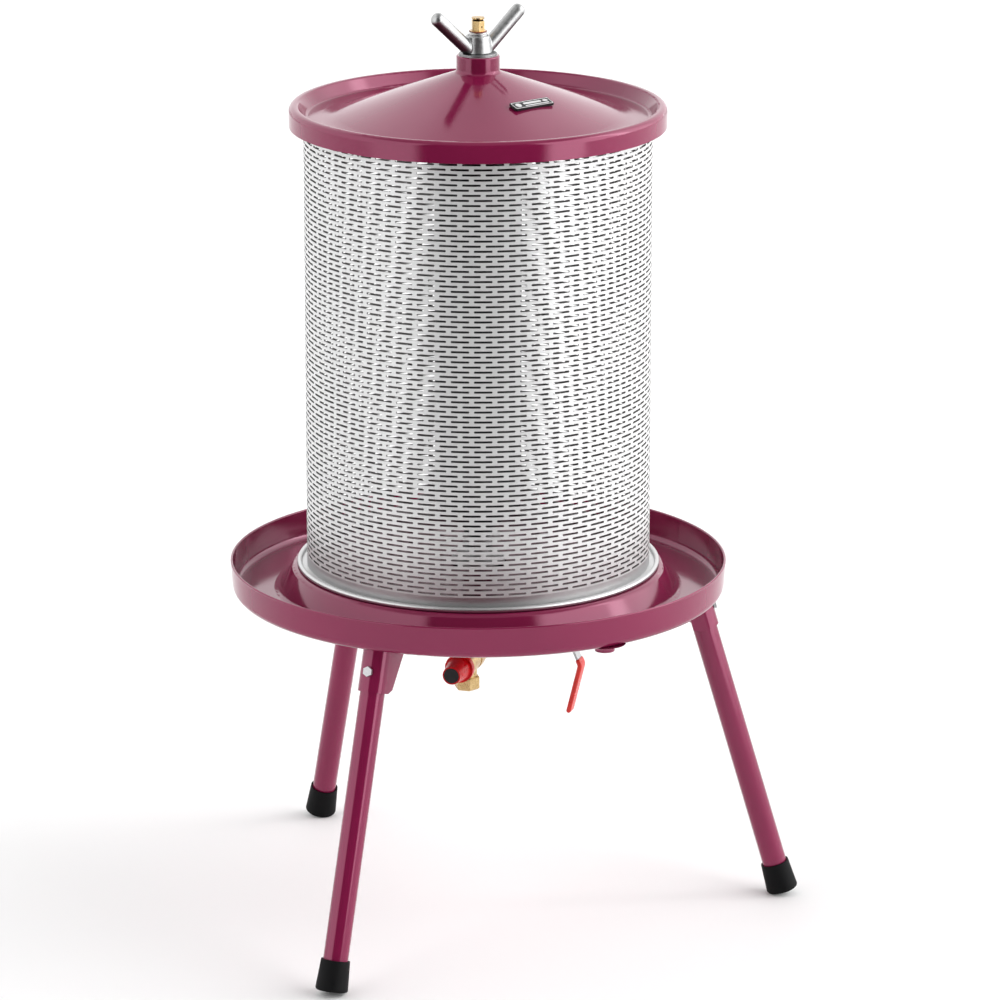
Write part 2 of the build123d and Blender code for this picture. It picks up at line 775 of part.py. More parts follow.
wing_plane = Plane(
    origin=(0, 0, WING_FOOT_Z),
    z_dir=(cos(radians(WING_RISE)), 0, sin(radians(WING_RISE))),
)

with BuildPart() as wing_nut_arms:
    with BuildSketch(wing_plane.offset(HUB_TOP_R)):
        Circle(WING_R)
    extrude(amount=WING_LENGTH - HUB_TOP_R)
    fillet(wing_nut_arms.edges().filter_by(GeomType.CIRCLE).sort_by(Axis.X)[-1], WING_R - 1.2)
    add(hub_blank.part, mode=Mode.SUBTRACT)
    split(bisect_by=Plane.XY.offset(hub_foot_z + GAP), keep=Keep.TOP)
    mirror(about=Plane.YZ)

wing_nut_arms.part.label = "wing_nut_arms"
export_step(wing_nut_arms.part, "parts/wing_nut_arms.step")

# ---- brass fittings under the tray ---------------------------------------------------------------

with BuildPart() as tee:
    with BuildSketch(across_pipe(WATER_ANGLE, -TEE_HALF)):
        Circle(RUN_R)
    extrude(amount=2 * TEE_HALF)
    for start in (-TEE_HALF, TEE_HALF - TEE_BAND):
        with BuildSketch(across_pipe(WATER_ANGLE, start)):
            Circle(RUN_BAND_R)
        extrude(amount=TEE_BAND)
    with BuildSketch(Plane.XY.offset(MANIFOLD_Z)):
        Circle(TEE_R)
    extrude(amount=TEE_TOP_Z - MANIFOLD_Z)
    with BuildSketch(Plane.XY.offset(TEE_TOP_Z - TEE_BAND)):
        Circle(TEE_BAND_R)
    extrude(amount=TEE_BAND)
    with BuildSketch(across_pipe(WATER_ANGLE, -TEE_HALF)):
        Circle(STUB_R + SNUG)
    extrude(amount=2 * TEE_HALF, mode=Mode.SUBTRACT)
    with BuildSketch(Plane.XY.offset(MANIFOLD_Z)):
        Circle(FITTING_BORE_R)
    extrude(amount=TEE_TOP_Z - MANIFOLD_Z, mode=Mode.SUBTRACT)
    with BuildSketch(Plane.XY.offset(TUBE_FOOT_Z)):
        Circle(TUBE_R + SNUG)
    extrude(amount=TEE_TOP_Z - TUBE_FOOT_Z, mode=Mode.SUBTRACT)

tee.part.label = "tee_fitting"
export_step(tee.part, "parts/tee_fitting.step")

with BuildPart() as relief_body:
    with BuildSketch(upright_plane(RELIEF_ANGLE, MANIFOLD_Z)):
        Polygon(
            (STUB_START, 0),
            (STUB_START, STUB_R),
            (TEE_HALF, STUB_R),
            (TEE_HALF, RELIEF_R),
            (RELIEF_END, RELIEF_R),
            (RELIEF_END, 0),
            align=None,
        )
    revolve(axis=Axis((0, 0, MANIFOLD_Z), outward(RELIEF_ANGLE)))
    with BuildSketch(outlet_plane(MANIFOLD_Z)):
        Circle(OUTLET_NECK_R)
    extrude(amount=MANIFOLD_Z - OUTLET_FOOT_Z)
    with BuildSketch(outlet_plane(OUTLET_FOOT_Z + OUTLET_HEX)):
        RegularPolygon(OUTLET_FLATS / 2, 6, major_radius=False)
    extrude(amount=OUTLET_HEX)
    chamfer(relief_body.edges().group_by(Axis.Z)[0], OUTLET_CHAMFER)
    with BuildSketch(across_pipe(RELIEF_ANGLE, STUB_START)):
        Circle(FITTING_BORE_R)
    extrude(amount=RELIEF_END - STUB_START, mode=Mode.SUBTRACT)
    with BuildSketch(across_pipe(RELIEF_ANGLE, POPPET_SEAT)):
        Circle(POPPET_R + 0.5)
    extrude(amount=RELIEF_END - POPPET_SEAT, mode=Mode.SUBTRACT)
    with BuildSketch(outlet_plane(OUTLET_FOOT_Z + OUTLET_HEX - 2.0)):
        Circle(OUTLET_R)
    extrude(amount=OUTLET_HEX, mode=Mode.SUBTRACT)
    with BuildSketch(outlet_plane(MANIFOLD_Z)):
        with Locations((0, RELIEF_PASSAGE_SHIFT)):
            Circle(RELIEF_PASSAGE_R)
    extrude(amount=MANIFOLD_Z - OUTLET_FOOT_Z, mode=Mode.SUBTRACT)

relief_body.part.label = "relief_body"
export_step(relief_body.part, "parts/relief_body.step")

with BuildPart() as relief_bonnet:
    with BuildSketch(upright_plane(RELIEF_ANGLE, MANIFOLD_Z)):
        Polygon(
            (RELIEF_END, SPRING_ROOM_R),
            (RELIEF_END, BONNET_R),
            (RELIEF_END + BONNET_FLANGE, BONNET_R),
            (RELIEF_END + BONNET_FLANGE, BOSS_R),
            (BOSS_END, BOSS_R),
            (BOSS_END, POPPET_STEM_R + SNUG),
            (BOSS_END - BOSS_WALL, POPPET_STEM_R + SNUG),
            (BOSS_END - BOSS_WALL, SPRING_ROOM_R),
            align=None,
        )
    revolve(axis=Axis((0, 0, MANIFOLD_Z), outward(RELIEF_ANGLE)))

relief_bonnet.part.label = "relief_bonnet"
export_step(relief_bonnet.part, "parts/relief_bonnet.step")

with BuildPart() as relief_poppet:
    with BuildSketch(upright_plane(RELIEF_ANGLE, MANIFOLD_Z)):
        Polygon(
            (POPPET_SEAT + SNUG, 0),
            (POPPET_SEAT + SNUG, POPPET_R),
            (POPPET_SEAT + POPPET_THICK, POPPET_R),
            (POPPET_SEAT + POPPET_THICK, POPPET_STEM_R),
            (POPPET_STEM_END, POPPET_STEM_R),
            (POPPET_STEM_END, 0),
            align=None,
        )
    revolve(axis=Axis((0, 0, MANIFOLD_Z), outward(RELIEF_ANGLE)))

relief_poppet.part.label = "relief_poppet"
export_step(relief_poppet.part, "parts/relief_poppet.step")

spring_start = POPPET_SEAT + POPPET_THICK + SPRING_WIRE_R + SNUG
spring_plane = across_pipe(RELIEF_ANGLE, spring_start)

with BuildPart() as relief_spring:
    with BuildLine():
        coil = Helix(
            SPRING_PITCH,
            SPRING_PITCH * SPRING_TURNS,
            SPRING_R,
            center=spring_plane.origin,
            direction=spring_plane.z_dir,
        )
    with BuildSketch(Plane(origin=coil @ 0, z_dir=coil % 0)):
        Circle(SPRING_WIRE_R)
    sweep(is_frenet=True)

relief_spring.part.label = "relief_spring"
export_step(relief_spring.part, "parts/relief_spring.step")

with BuildPart() as relief_cap:
    with BuildSketch(upright_plane(RELIEF_ANGLE, MANIFOLD_Z)):
        Polygon(
            (CAP_START, BOSS_R + SNUG),
            (CAP_START, CAP_RIM_R),
            (CAP_START + CAP_RIM, CAP_RIM_R),
            (CAP_START + CAP_RIM, CAP_FOOT_R),
            (CAP_END, CAP_TIP_R),
            (CAP_END, CAP_DISC_R + SNUG),
            (CAP_END - CAP_DISC, CAP_DISC_R + SNUG),
            (CAP_END - CAP_DISC, 0),
            (CAP_END - CAP_WALL, 0),
            (CAP_END - CAP_WALL, CAP_DISC_R - 1.6),
            (BOSS_END + GAP, CAP_DISC_R - 1.6),
            (BOSS_END + GAP, BOSS_R + SNUG),
            align=None,
        )
    revolve(axis=Axis((0, 0, MANIFOLD_Z), outward(RELIEF_ANGLE)))

relief_cap.part.label = "relief_cap"
export_step(relief_cap.part, "parts/relief_cap.step")

with BuildPart() as relief_cap_disc:
    with BuildSketch(across_pipe(RELIEF_ANGLE, CAP_END - CAP_DISC)):
        Circle(CAP_DISC_R)
    extrude(amount=CAP_DISC + 0.4)

relief_cap_disc.part.label = "relief_cap_disc"
export_step(relief_cap_disc.part, "parts/relief_cap_disc.step")

with BuildPart() as water_nipple:
    with BuildSketch(upright_plane(WATER_ANGLE, MANIFOLD_Z)):
        Polygon(
            (STUB_START, FITTING_BORE_R),
            (STUB_START, STUB_R),
            (NIPPLE_HEX_END, STUB_R),
            (NIPPLE_HEX_END, NIPPLE_R),
            (VALVE_START, NIPPLE_R),
            (VALVE_START, STUB_R),
            (VALVE_PORT_END, STUB_R),
            (VALVE_PORT_END, FITTING_BORE_R),
            align=None,
        )
    revolve(axis=Axis((0, 0, MANIFOLD_Z), outward(WATER_ANGLE)))
    with BuildSketch(across_pipe(WATER_ANGLE, TEE_HALF)):
        RegularPolygon(NIPPLE_FLATS / 2, 6, major_radius=False)
        Circle(FITTING_BORE_R, mode=Mode.SUBTRACT)
    extrude(amount=NIPPLE_HEX_END - TEE_HALF)

water_nipple.part.label = "water_nipple"
export_step(water_nipple.part, "parts/water_nipple.step")

# ---- ball valve ------------------------------------------------------------------------------------

with BuildPart() as valve_body:
    with BuildSketch(across_pipe(WATER_ANGLE, VALVE_START)):
        RegularPolygon(VALVE_FLATS / 2, 6, major_radius=False)
    extrude(amount=VALVE_HEX)
    with BuildSketch(across_pipe(WATER_ANGLE, VALVE_START + VALVE_HEX)):
        Circle(BARREL_R)
    extrude(amount=BARREL_END - VALVE_START - VALVE_HEX)
    with BuildSketch(stem_plane(0)):
        Circle(SIDE_BOSS_R)
    extrude(amount=SIDE_BOSS_END)
    with BuildSketch(across_pipe(WATER_ANGLE, VALVE_START)):
        Circle(STUB_R + SNUG)
    extrude(amount=VALVE_PORT_END - VALVE_START, mode=Mode.SUBTRACT)
    with BuildSketch(across_pipe(WATER_ANGLE, VALVE_START)):
        Circle(FITTING_BORE_R)
    extrude(amount=BARREL_END - VALVE_START, mode=Mode.SUBTRACT)
    with BuildSketch(across_pipe(WATER_ANGLE, BALL_ROOM_START)):
        Circle(BALL_ROOM_R)
    extrude(amount=BARREL_END - BALL_ROOM_START, mode=Mode.SUBTRACT)
    with BuildSketch(stem_plane(0)):
        Circle(STEM_R + SNUG)
    extrude(amount=SIDE_BOSS_END, mode=Mode.SUBTRACT)

valve_body.part.label = "ball_valve_body"
export_step(valve_body.part, "parts/ball_valve_body.step")

with BuildPart() as valve_end_cap:
    with BuildSketch(across_pipe(WATER_ANGLE, END_CAP_START)):
        Circle(BALL_ROOM_R - SNUG)
    extrude(amount=BARREL_END - END_CAP_START)
    with BuildSketch(across_pipe(WATER_ANGLE, BARREL_END)):
        RegularPolygon(VALVE_FLATS / 2, 6, major_radius=False)
    extrude(amount=END_CAP_HEX)
    with BuildSketch(across_pipe(WATER_ANGLE, BARREL_END + END_CAP_HEX)):
        Circle(MALE_END_R)
    extrude(amount=MALE_END)
    with BuildSketch(across_pipe(WATER_ANGLE, END_CAP_START)):
        Circle(FITTING_BORE_R)
    extrude(amount=HOSE_GASKET_START - END_CAP_START, mode=Mode.SUBTRACT)

valve_end_cap.part.label = "ball_valve_end_cap"
export_step(valve_end_cap.part, "parts/ball_valve_end_cap.step")

with BuildPart() as valve_seats:
    for start in (BALL_ROOM_START + SNUG, END_CAP_START - SEAT_THICK):
        with BuildSketch(across_pipe(WATER_ANGLE, start)):
            Circle(BALL_ROOM_R - SNUG)
            Circle(FITTING_BORE_R, mode=Mode.SUBTRACT)
        extrude(amount=SEAT_THICK)
    with Locations(stem_plane(0).origin):
        Sphere(BALL_R + SNUG, mode=Mode.SUBTRACT)

valve_seats.part.label = "valve_seats"
export_step(valve_seats.part, "parts/valve_seats.step")

with BuildPart() as ball:
    with Locations(stem_plane(0).origin):
        Sphere(BALL_R)
    with BuildSketch(Plane.XY.move(Location(stem_plane(0).origin))):
        Circle(FITTING_BORE_R)
    extrude(amount=BALL_R, both=True, mode=Mode.SUBTRACT)
    with BuildSketch(stem_plane(TANG_START - GAP)):
        Rectangle(2 * BALL_R, TANG_THICK + 2 * SNUG)
    extrude(amount=BALL_R, mode=Mode.SUBTRACT)

ball.part.label = "valve_ball"
export_step(ball.part, "parts/valve_ball.step")

with BuildPart() as stem:
    with BuildSketch(stem_plane(STEM_START)):
        Circle(STEM_R)
    extrude(amount=LEVER_LINE[0][1] - LEVER_THICK / 2 - STEM_START)
    with BuildSketch(stem_plane(LEVER_LINE[0][1] - LEVER_THICK / 2)):
        Circle(STEM_TIP_R)
    extrude(amount=STEM_END - LEVER_LINE[0][1] + LEVER_THICK / 2)
    with BuildSketch(stem_plane(TANG_START)):
        Rectangle(2 * STEM_TIP_R, TANG_THICK)
    extrude(amount=STEM_START - TANG_START)

stem.part.label = "valve_stem"
export_step(stem.part, "parts/valve_stem.step")

with BuildPart() as packing_nut:
    with BuildSketch(stem_plane(SIDE_BOSS_END)):
        RegularPolygon(PACKING_FLATS / 2, 6, major_radius=False)
        Circle(STEM_R + SNUG, mode=Mode.SUBTRACT)
    extrude(amount=PACKING_NUT)

packing_nut.part.label = "packing_nut"
export_step(packing_nut.part, "parts/packing_nut.step")

with BuildPart() as lever:
    with BuildSketch(lever_plane()):
        with BuildLine():
            FilletPolyline(*LEVER_LINE, radius=LEVER_BEND_R)
        trace(line_width=LEVER_THICK)
    extrude(amount=LEVER_WIDTH / 2, both=True)
    with BuildSketch(stem_plane(0)):
        Circle(STEM_TIP_R + SNUG)
    extrude(amount=STEM_END, mode=Mode.SUBTRACT)
    root_corners = lever.edges().filter_by(Axis((0, 0, 0), outward(STEM_ANGLE))).group_by(Axis.Z)[-1]
    fillet(root_corners, LEVER_WIDTH / 2 - 0.5)

lever.part.label = "valve_lever"
export_step(lever.part, "parts/valve_lever.step")

with BuildPart() as grip:
    with BuildSketch(lever_plane()):
        with BuildLine():
            FilletPolyline(
                lever_point(LEVER_LINE[2], LEVER_LINE[3], GRIP_START),
                LEVER_LINE[3],
                lever_point(LEVER_LINE[3], LEVER_LINE[4], GRIP_END),
                radius=LEVER_BEND_R,
            )
        trace(line_width=GRIP_THICK)
    extrude(amount=GRIP_WIDTH / 2, both=True)
    fillet(grip.edges(), GRIP_EDGE_R)
    with BuildSketch(lever_plane()):
        with BuildLine():
            FilletPolyline(*LEVER_LINE, radius=LEVER_BEND_R)
        trace(line_width=LEVER_THICK + 2 * SNUG)
    extrude(amount=LEVER_WIDTH / 2 + SNUG, both=True, mode=Mode.SUBTRACT)

grip.part.label = "lever_grip"
export_step(grip.part, "parts/lever_grip.step")

with BuildPart() as lever_nut:
    with BuildSketch(stem_plane(LEVER_LINE[0][1] + LEVER_THICK / 2)):
        RegularPolygon(LEVER_NUT_FLATS / 2, 6, major_radius=False)
        Circle(STEM_TIP_R + SNUG, mode=Mode.SUBTRACT)
    extrude(amount=LEVER_NUT)

lever_nut.part.label = "lever_nut"
export_step(lever_nut.part, "parts/lever_nut.step")

with BuildPart() as hose_connector:
    with BuildSketch(upright_plane(WATER_ANGLE, MANIFOLD_Z)):
        Polygon(
            (HOSE_NUT_START, MALE_END_R + SNUG),
            (HOSE_NUT_START, HOSE_NUT_R),
            (HOSE_NUT_END, HOSE_NUT_R),
            (HOSE_NUT_END, HOSE_NOSE_R),
            (HOSE_NOSE_END, HOSE_NOSE_R),
            (HOSE_NOSE_END, HOSE_NOSE_R - 3.0),
            (HOSE_GASKET_START + HOSE_GASKET, HOSE_NOSE_R - 3.0),
            (HOSE_GASKET_START + HOSE_GASKET, MALE_END_R + SNUG),
            align=None,
        )
    revolve(axis=Axis((0, 0, MANIFOLD_Z), outward(WATER_ANGLE)))

hose_connector.part.label = "hose_connector"
export_step(hose_connector.part, "parts/hose_connector.step")

with BuildPart() as hose_gasket:
    with BuildSketch(across_pipe(WATER_ANGLE, HOSE_GASKET_START)):
        Circle(MALE_END_R)
        Circle(FITTING_BORE_R, mode=Mode.SUBTRACT)
    extrude(amount=HOSE_GASKET)

hose_gasket.part.label = "connector_gasket"
export_step(hose_gasket.part, "parts/connector_gasket.step")
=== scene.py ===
import json
import math

import bpy
from mathutils import Matrix, Vector


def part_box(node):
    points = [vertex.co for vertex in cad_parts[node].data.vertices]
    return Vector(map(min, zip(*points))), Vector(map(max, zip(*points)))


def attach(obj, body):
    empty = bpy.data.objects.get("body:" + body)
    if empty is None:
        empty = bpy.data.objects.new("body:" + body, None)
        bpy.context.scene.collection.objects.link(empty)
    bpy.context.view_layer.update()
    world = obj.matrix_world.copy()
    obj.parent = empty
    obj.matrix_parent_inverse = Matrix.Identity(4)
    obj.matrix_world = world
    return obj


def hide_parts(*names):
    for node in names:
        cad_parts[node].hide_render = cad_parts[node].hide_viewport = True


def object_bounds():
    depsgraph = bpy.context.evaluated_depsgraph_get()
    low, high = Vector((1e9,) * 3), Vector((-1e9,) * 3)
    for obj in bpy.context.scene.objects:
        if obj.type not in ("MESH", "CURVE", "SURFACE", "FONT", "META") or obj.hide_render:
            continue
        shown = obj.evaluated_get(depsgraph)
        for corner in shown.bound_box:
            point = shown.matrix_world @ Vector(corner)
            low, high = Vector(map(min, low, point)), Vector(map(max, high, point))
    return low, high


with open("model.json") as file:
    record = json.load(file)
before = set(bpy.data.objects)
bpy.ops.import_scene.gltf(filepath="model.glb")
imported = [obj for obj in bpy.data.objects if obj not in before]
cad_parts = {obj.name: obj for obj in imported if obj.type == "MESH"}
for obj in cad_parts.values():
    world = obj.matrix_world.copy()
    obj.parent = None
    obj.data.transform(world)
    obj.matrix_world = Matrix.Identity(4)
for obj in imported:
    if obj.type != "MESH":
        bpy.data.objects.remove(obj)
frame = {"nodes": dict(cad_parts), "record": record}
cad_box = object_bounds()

UP = Vector((0, 0, 1))


def toward(azimuth):
    """Level direction at this azimuth, in degrees from +X towards +Y."""
    return Vector((math.cos(math.radians(azimuth)), math.sin(math.radians(azimuth)), 0))


# ---- camera ----------------------------------------------------------------------

CAMERA_AZIMUTH = -122.7
CAMERA_DISTANCE = 5.1002
CAMERA_HEIGHT = 1.8479
CAMERA_PITCH = 15.728
CAMERA_YAW = 0.239
CAMERA_ROLL = 0.0007
CAMERA_SENSOR = 36.0
CAMERA_LENS = 195.217
CAMERA_REACH = 60.0

camera_data = bpy.data.cameras.new("camera")
camera_data.sensor_width = CAMERA_SENSOR
camera_data.lens = CAMERA_LENS
camera_data.clip_end = CAMERA_REACH
camera = bpy.data.objects.new("camera", camera_data)
bpy.context.collection.objects.link(camera)
bpy.context.scene.camera = camera
camera.location = toward(CAMERA_AZIMUTH) * CAMERA_DISTANCE + UP * CAMERA_HEIGHT
sight = toward(CAMERA_AZIMUTH + 180 - CAMERA_YAW) * math.cos(math.radians(CAMERA_PITCH))
sight -= UP * math.sin(math.radians(CAMERA_PITCH))
aim = sight.to_track_quat("-Z", "Y").to_matrix().to_4x4()
roll = Matrix.Rotation(CAMERA_ROLL, 4, "Z")
camera.matrix_world = Matrix.Translation(camera.location) @ aim @ roll


# ---- materials --------------------------------------------------------------------

# the part of a noise's range that holds nearly all of its values
NOISE_LOW = 0.3
NOISE_HIGH = 0.7
EVEN = (1, 1, 1)
PAINT_SHEEN = (1.0, 0.48, 0.64, 1.0)
PAINT_PEEL = 0.0002
METAL_GRAIN = 0.0001
RUBBER_GRAIN = 0.0002


class Look:
    """One procedural material: a principled shader and the nodes that feed it."""

    def __init__(self, name, colour, metallic=0.0, roughness=0.5):
        self.material = bpy.data.materials.new(name)
        self.material.use_nodes = True
        self.tree = self.material.node_tree
        self.shader = self.tree.nodes["Principled BSDF"]
        self.shader.inputs["Metallic"].default_value = metallic
        self.shader.inputs["Roughness"].default_value = roughness
        self.shader.inputs["Base Color"].default_value = (*colour, 1.0)
        self.place = self.add("ShaderNodeTexCoord").outputs["Object"]

    def add(self, kind, **settings):
        node = self.tree.nodes.new(kind)
        for key, value in settings.items():
            setattr(node, key, value)
        return node

    def link(self, output, socket):
        self.tree.links.new(output, socket)

    def stretch(self, scale):
        """Object coordinates, scaled along x, y and z."""
        node = self.add("ShaderNodeMapping")
        node.inputs["Scale"].default_value = scale
        self.link(self.place, node.inputs["Vector"])
        return node.outputs["Vector"]

    def noise(self, vector, scale, detail=4.0, roughness=0.55):
        node = self.add("ShaderNodeTexNoise")
        self.link(vector, node.inputs["Vector"])
        node.inputs["Scale"].default_value = scale
        node.inputs["Detail"].default_value = detail
        node.inputs["Roughness"].default_value = roughness
        return node.outputs["Fac"]

    def ramp(self, value, *stops):
        """Two colours, each at its position along a value."""
        node = self.add("ShaderNodeValToRGB")
        self.link(value, node.inputs["Fac"])
        for element, (at, colour) in zip(node.color_ramp.elements, stops):
            element.position = at
            element.color = (*colour, 1.0)
        return node.outputs["Color"]

    def spread(self, value, low, high):
        """The value's useful range, mapped from low to high."""
        node = self.add("ShaderNodeMapRange")
        self.link(value, node.inputs["Value"])
        node.inputs["From Min"].default_value = NOISE_LOW
        node.inputs["From Max"].default_value = NOISE_HIGH
        node.inputs["To Min"].default_value = low
        node.inputs["To Max"].default_value = high
        return node.outputs["Result"]

    def bump(self, value, strength, distance):
        node = self.add("ShaderNodeBump")
        self.link(value, node.inputs["Height"])
        node.inputs["Strength"].default_value = strength
        node.inputs["Distance"].default_value = distance
        if self.shader.inputs["Normal"].is_linked:
            self.link(self.shader.inputs["Normal"].links[0].from_socket, node.inputs["Normal"])
        self.link(node.outputs["Normal"], self.shader.inputs["Normal"])

    def feed(self, output, socket):
        self.link(output, self.shader.inputs[socket])


def paint(name, deep, light, roughness):
    """Gloss enamel: a tinted sheen over a colour that varies a little, with orange peel."""
    look = Look(name, light, 0.0, roughness)
    look.shader.inputs["Specular IOR Level"].default_value = 1.0
    look.shader.inputs["Specular Tint"].default_value = PAINT_SHEEN
    cloud = look.noise(look.stretch(EVEN), 9.0, 3.0)
    look.feed(look.ramp(cloud, (NOISE_LOW, deep), (NOISE_HIGH, light)), "Base Color")
    patches = look.noise(look.stretch(EVEN), 35.0, 4.0)
    look.feed(look.spread(patches, roughness - 0.03, roughness + 0.05), "Roughness")
    look.bump(look.noise(look.stretch(EVEN), 420.0, 2.0), 0.10, PAINT_PEEL)
    return look


def metal(name, dark, light, roughness, grain, lines=260.0, strength=0.1, metallic=1.0):
    """Bare metal with a fine grain that runs along one direction."""
    look = Look(name, light, metallic, roughness)
    streak = look.noise(look.stretch(grain), lines, 5.0, 0.65)
    look.feed(look.ramp(streak, (NOISE_LOW, dark), (NOISE_HIGH, light)), "Base Color")
    look.feed(look.spread(streak, roughness - 0.06, roughness + 0.08), "Roughness")
    look.bump(streak, strength, METAL_GRAIN)
    return look


def rubber(name, dark, light, roughness=0.6, grain=700.0, shine=0.5):
    """Moulded rubber or plastic: matt, with a fine skin and dusty variation."""
    look = Look(name, light, 0.0, roughness)
    look.shader.inputs["Specular IOR Level"].default_value = shine
    dust = look.noise(look.stretch(EVEN), 60.0, 5.0)
    look.feed(look.ramp(dust, (NOISE_LOW, dark), (0.75, light)), "Base Color")
    look.feed(look.spread(dust, roughness - 0.08, roughness + 0.1), "Roughness")
    look.bump(look.noise(look.stretch(EVEN), grain, 3.0), 0.25, RUBBER_GRAIN)
    return look


LOOKS = {
    "burgundy_paint": paint("burgundy_paint", (0.180, 0.0072, 0.046), (0.204, 0.0090, 0.053), 0.10),
    "stainless": metal("stainless", (0.56, 0.56, 0.562), (0.66, 0.66, 0.663), 0.40, (1, 1, 14)),
    "zinc_plated": metal("zinc_plated", (0.38, 0.38, 0.39), (0.50, 0.50, 0.51), 0.34, EVEN, 400.0),
    "brass": metal("brass", (0.50, 0.34, 0.15), (0.66, 0.48, 0.24), 0.27, EVEN, 300.0),
    "black_rubber": rubber(
        "black_rubber", (0.0025, 0.0025, 0.003), (0.006, 0.006, 0.0065),
        0.6, 700.0, 0.12,
    ),
    "natural_rubber": rubber("natural_rubber", (0.02, 0.02, 0.022), (0.045, 0.045, 0.048), 0.5),
    "nylon": rubber("nylon", (0.70, 0.69, 0.65), (0.85, 0.84, 0.80), 0.4),
    "red_plastic": rubber(
        "red_plastic", (0.52, 0.004, 0.007), (0.62, 0.007, 0.010),
        0.28, 300.0, 0.22,
    ),
    "red_vinyl": rubber("red_vinyl", (0.58, 0.022, 0.016), (0.70, 0.034, 0.024), 0.30, 400.0, 0.35),
    "black_plastic": rubber(
        "black_plastic", (0.006, 0.006, 0.007), (0.014, 0.014, 0.016),
        0.4, 700.0, 0.3,
    ),
    "fibre": rubber("fibre", (0.20, 0.035, 0.02), (0.30, 0.06, 0.035), 0.7),
}

# the basket's sheet outside, and a darker copy of the same sheet, painted shade, for where the slots
# cut it and inside
SHEET_LOOK = metal(
    "rolled_sheet", (0.68, 0.68, 0.68), (0.78, 0.78, 0.78),
    0.41, (1, 1, 6), 900.0, 0.03, 0.43,
)
SHADED_INSIDE_LOOK = metal(
    "sheet_painted_shade", (0.20, 0.195, 0.19), (0.31, 0.305, 0.30),
    0.5, (1, 1, 14), 260.0, 0.1, 0.6,
)

slot_of = {entry["node"]: entry["material_slot"] for entry in frame["record"]["subparts"]}
body_of = {}
for body, nodes in frame["record"]["behaviour"]["bodies"].items():
    for node in nodes:
        body_of[node] = body

for name, node in frame["nodes"].items():
    node.data.materials.clear()
    node.data.materials.append(LOOKS[slot_of[name]].material)


# ---- mesh helpers -------------------------------------------------------------------

CREASE = 40.0


def piece(name, points, faces, node, *stands_for, look=None, smooth=CREASE):
    """A mesh that rides with a CAD node's body and stands for CAD nodes."""
    mesh = bpy.data.meshes.new(name)
    mesh.from_pydata([tuple(p) for p in points], [], faces)
    mesh.validate()
    mesh.update()
    made = bpy.data.objects.new(name, mesh)
    bpy.context.collection.objects.link(made)
    mesh.materials.append((look or LOOKS[slot_of[node]]).material)
    if smooth:
        mesh.shade_smooth()
        mesh.set_sharp_from_angle(angle=math.radians(smooth))
    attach(made, body_of[node])
    if stands_for:
        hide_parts(*stands_for)
    return made


# ---- basket wall ----------------------------------------------------------------------

wall_low, wall_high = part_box("basket_wall")
WALL_R = 0.1675
WALL_THICKNESS = 0.0015
WALL_IN_R = WALL_R - WALL_THICKNESS
SLOTS = 48
SLOT_LENGTH = 0.0174
SLOT_HEIGHT = 0.00205
SLOT_CORNER = 0.00055
ROW_PITCH = 0.0048485
ROWS = 88
FIRST_ROW_Z = 0.36475
SLOT_TURN = 2.68
SEAM_AZIMUTH = 57.3
# slots whose middle is within this share of a pitch from the weld are left closed
CLOSED_SHARE = 0.6


def slot_loop(centre, height):
    """Angles and heights round one slot, from its lower left, anticlockwise."""
    far = SLOT_LENGTH / 2 / WALL_R
    near = (SLOT_LENGTH / 2 - SLOT_CORNER) / WALL_R
    half = SLOT_HEIGHT / 2
    low = half - SLOT_CORNER
    return [
        (centre - near, height - half),
        (centre, height - half),
        (centre + near, height - half),
        (centre + far, height - low),
        (centre + far, height + low),
        (centre + near, height + half),
        (centre, height + half),
        (centre - near, height + half),
        (centre - far, height + low),
        (centre - far, height - low),
    ]


